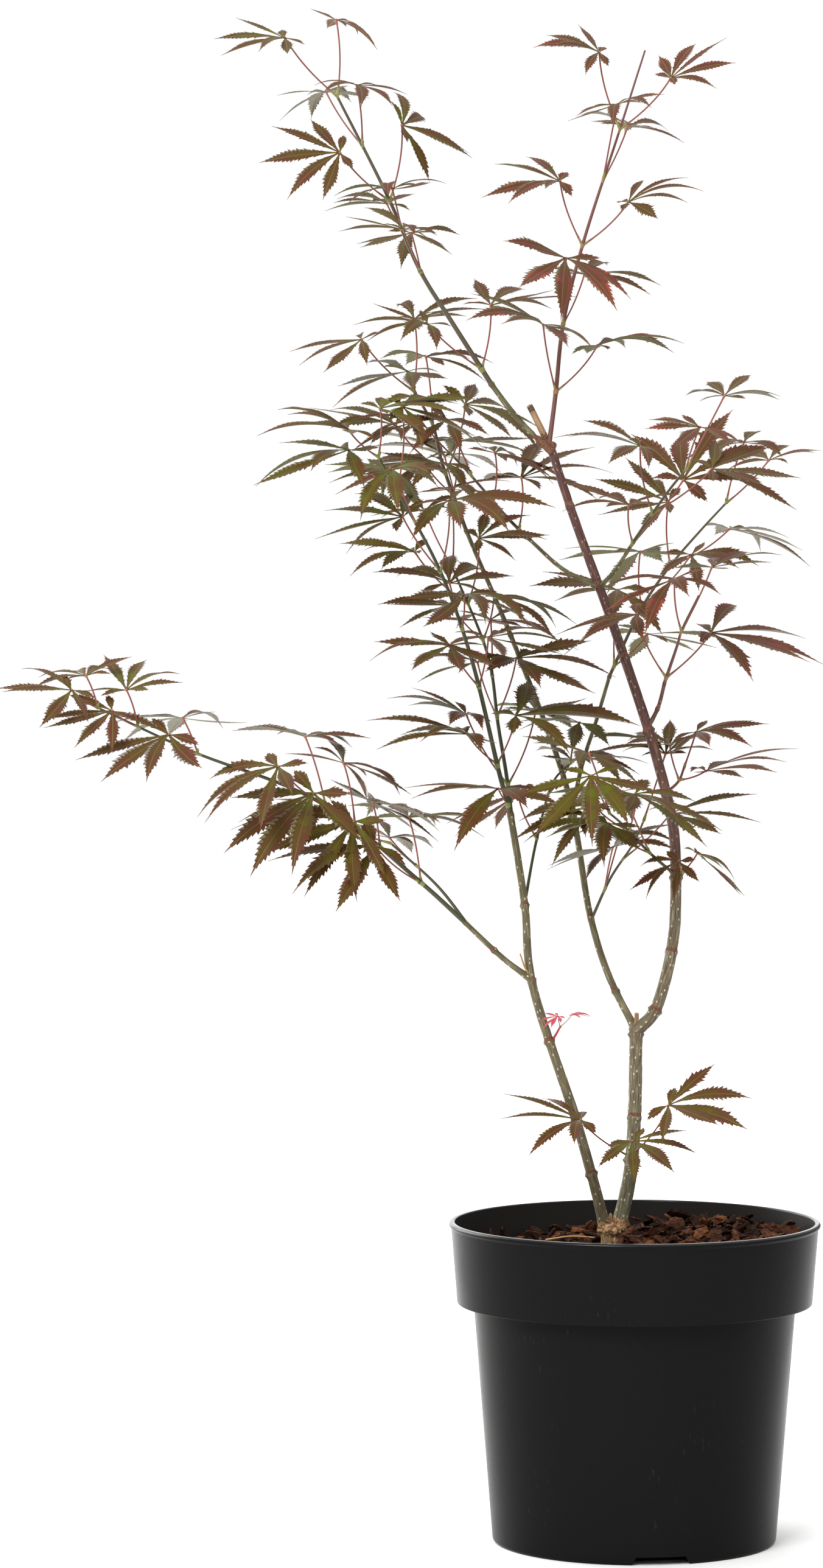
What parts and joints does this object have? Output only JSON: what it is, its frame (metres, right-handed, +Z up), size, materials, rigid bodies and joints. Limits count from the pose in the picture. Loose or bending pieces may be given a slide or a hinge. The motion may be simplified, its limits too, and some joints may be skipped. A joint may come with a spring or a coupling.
{
  "type": "potted japanese maple",
  "caption": "Young open-crowned japanese maple in a round black nursery pot: slender forked stems carry deeply lobed bronze-green leaves above bark mulch.",
  "frame": {"origin": "the middle of the pot's flat underside, where it stands", "axes": "+Z up the plant, -Y towards the viewer's side of the plant, and the crown leans out towards -X"},
  "size_m": [0.5143, 0.3491, 0.9503],
  "materials": {
    "pot_plastic": "moulded, semi-matt black",
    "bark_mulch": "rough bark chips",
    "stem_bark": "smooth grey-olive bark",
    "leader_bark": "smooth purple-brown bark",
    "foliage": "satin leaves, bronze to green",
    "young_leaf": "soft young leaves"
  },
  "bodies": {
    "root": {"pot": "pot_plastic", "bark_mulch": "bark_mulch", "trunk": "stem_bark", "right_stem": "stem_bark", "right_leader_foot": "stem_bark", "right_leader": "leader_bark", "middle_stem": "stem_bark", "left_stem": "stem_bark", "low_left_bough": "stem_bark", "top_left_bough": "stem_bark", "upper_middle_bough": "stem_bark", "upper_right_bough": "stem_bark", "back_right_bough": "stem_bark", "lower_right_bough": "stem_bark", "pruned_stub_top": "stem_bark", "pruned_stub_fork": "stem_bark", "top_left_foliage": "foliage", "top_right_foliage": "foliage", "middle_top_foliage": "foliage", "left_front_foliage": "foliage", "left_back_foliage": "foliage", "upper_middle_foliage": "foliage", "upper_right_foliage": "foliage", "back_right_foliage": "foliage", "lower_right_foliage": "foliage", "leader_spur_foliage": "foliage", "front_middle_foliage": "foliage", "back_middle_foliage": "foliage", "inner_left_foliage": "foliage", "low_left_foliage": "foliage", "low_inner_foliage": "foliage", "foot_foliage": "foliage", "leader_node_foliage": "foliage", "young_sprout": "young_leaf"}
  },
  "joints": []
}
